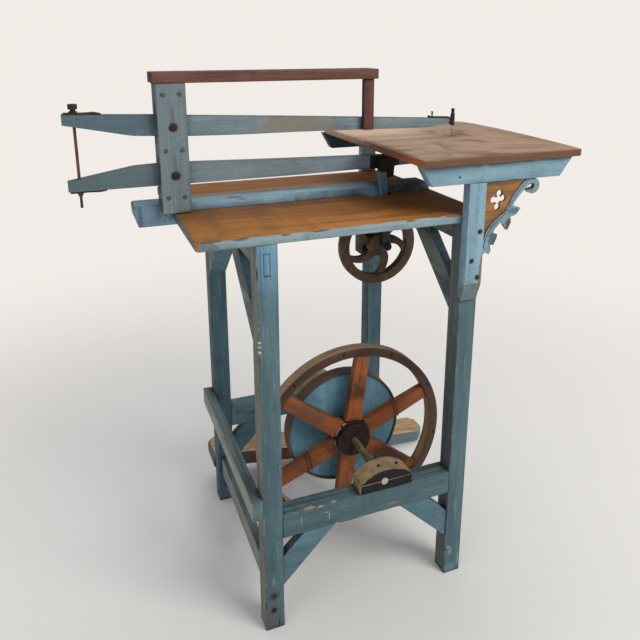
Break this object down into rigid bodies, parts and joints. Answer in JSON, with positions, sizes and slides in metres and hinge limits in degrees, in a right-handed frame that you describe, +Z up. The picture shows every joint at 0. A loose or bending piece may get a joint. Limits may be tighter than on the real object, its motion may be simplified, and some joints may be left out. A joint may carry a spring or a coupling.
{
  "type": "treadle scroll saw",
  "caption": "Foot-treadle scroll saw in painted wood, with two parallel rocking arms, a small table, a flywheel and a crank-driven wheel.",
  "frame": {"origin": "on the floor under the middle of the whole saw", "axes": "+X along the arms towards the blade, +Y to the back, +Z up"},
  "size_m": [1.0921, 0.653, 1.224],
  "materials": {
    "paint_blue": "worn blue paint on wood",
    "shelf_wood": "bare oiled boards",
    "table_wood": "dry bare hardwood",
    "red_wood": "red-brown stain",
    "panel_wood": "clear varnish",
    "bearing_wood": "oil-dark hardwood",
    "rim_wood": "dark worn wood",
    "dark_iron": "rusted dark iron",
    "blade_steel": "plain steel"
  },
  "bodies": {
    "frame": {"batten_back": "paint_blue", "batten_front": "paint_blue", "bearing_bases": "bearing_wood", "bearing_caps": "bearing_wood", "bed_beam": "paint_blue", "braces_back": "paint_blue", "braces_front": "paint_blue", "bracket_edging": "paint_blue", "bracket_panel": "panel_wood", "column_back": "paint_blue", "column_front": "paint_blue", "column_screws": "dark_iron", "column_spacers": "paint_blue", "end_rails": "paint_blue", "guide_post": "red_wood", "leg_back_left": "paint_blue", "leg_back_right": "paint_blue", "leg_front_left": "paint_blue", "leg_front_right": "paint_blue", "pivot_bolts": "dark_iron", "post_bolts": "dark_iron", "rail_back": "paint_blue", "rail_front": "paint_blue", "shelf_back": "shelf_wood", "shelf_front": "shelf_wood", "side_rail": "paint_blue", "side_rail_low": "paint_blue", "table_post_back": "paint_blue", "table_post_front": "paint_blue", "table_top": "table_wood", "top_bar": "red_wood", "top_braces_left": "paint_blue", "top_braces_right": "paint_blue", "treadle_bolt": "dark_iron", "wheel_hanger": "dark_iron"},
    "lower_arm": {"lower_arm": "paint_blue", "lower_plate": "dark_iron", "arm_strap": "dark_iron", "lower_clamp": "dark_iron"},
    "upper_arm": {"upper_arm": "paint_blue", "upper_plate": "dark_iron", "upper_clamp_plate": "dark_iron", "upper_clamp": "dark_iron"},
    "tension_rod": {"tension_rod": "dark_iron"},
    "thumb_nut": {"thumb_nut": "dark_iron"},
    "blade": {"blade": "blade_steel"},
    "wheel": {"drive_wheel": "dark_iron", "wheel_spindle": "dark_iron", "crank_pin": "dark_iron"},
    "pitman": {"pitman": "paint_blue", "pitman_bolt": "dark_iron"},
    "flywheel": {"crankshaft": "dark_iron", "fly_rim": "rim_wood", "fly_spokes": "red_wood", "fly_hub": "dark_iron", "belt_disc": "paint_blue", "belt_rim": "rim_wood"},
    "connecting_rod": {"connecting_rod": "bearing_wood"},
    "treadle": {"treadle": "rim_wood", "treadle_lug": "dark_iron"}
  },
  "joints": [
    {"name": "lower_arm_swing", "type": "hinge", "parent": "frame", "child": "lower_arm", "pos_m": [-0.3335, -0.032, 1.012], "axis": [0, 1, 0], "range_deg": [-1.6, 1.6]},
    {"name": "upper_arm_swing", "type": "hinge", "parent": "frame", "child": "upper_arm", "pos_m": [-0.3335, -0.032, 1.113], "axis": [0, 1, 0], "range_deg": [-1.6, 1.6]},
    {"name": "tension_rod_tilt", "type": "hinge", "parent": "upper_arm", "child": "tension_rod", "pos_m": [-0.523, -0.032, 1.125], "axis": [0, 1, 0], "range_deg": [-1.6, 1.6]},
    {"name": "thumb_nut_turn", "type": "hinge", "parent": "tension_rod", "child": "thumb_nut", "pos_m": [-0.523, -0.032, 1.158], "axis": [0, 0, 1], "continuous": true},
    {"name": "blade_tilt", "type": "hinge", "parent": "upper_arm", "child": "blade", "pos_m": [0.353, -0.032, 1.092], "axis": [0, 1, 0], "range_deg": [-1.6, 1.6]},
    {"name": "wheel_spin", "type": "hinge", "parent": "frame", "child": "wheel", "pos_m": [0.154, -0.0295, 0.798], "axis": [0, 1, 0], "continuous": true},
    {"name": "pitman_swing", "type": "hinge", "parent": "wheel", "child": "pitman", "pos_m": [0.168, -0.0535, 0.798], "axis": [0, 1, 0], "continuous": true},
    {"name": "flywheel_spin", "type": "hinge", "parent": "frame", "child": "flywheel", "pos_m": [0.06, -0.0955, 0.319], "axis": [0, 1, 0], "continuous": true},
    {"name": "connecting_rod_swing", "type": "hinge", "parent": "flywheel", "child": "connecting_rod", "pos_m": [0.06, 0.1505, 0.284], "axis": [0, 1, 0], "continuous": true},
    {"name": "treadle_rock", "type": "hinge", "parent": "frame", "child": "treadle", "pos_m": [-0.2045, 0.2735, 0.104], "axis": [0, -1, 0], "range_deg": [0, 14]}
  ],
  "couplings": [
    {"joint": "upper_arm_swing", "follows": "lower_arm_swing", "ratio": 1},
    {"joint": "tension_rod_tilt", "follows": "lower_arm_swing", "ratio": -1},
    {"joint": "blade_tilt", "follows": "lower_arm_swing", "ratio": -1},
    {"joint": "pitman_swing", "follows": "wheel_spin", "ratio": -1},
    {"joint": "connecting_rod_swing", "follows": "flywheel_spin", "ratio": -1}
  ]
}
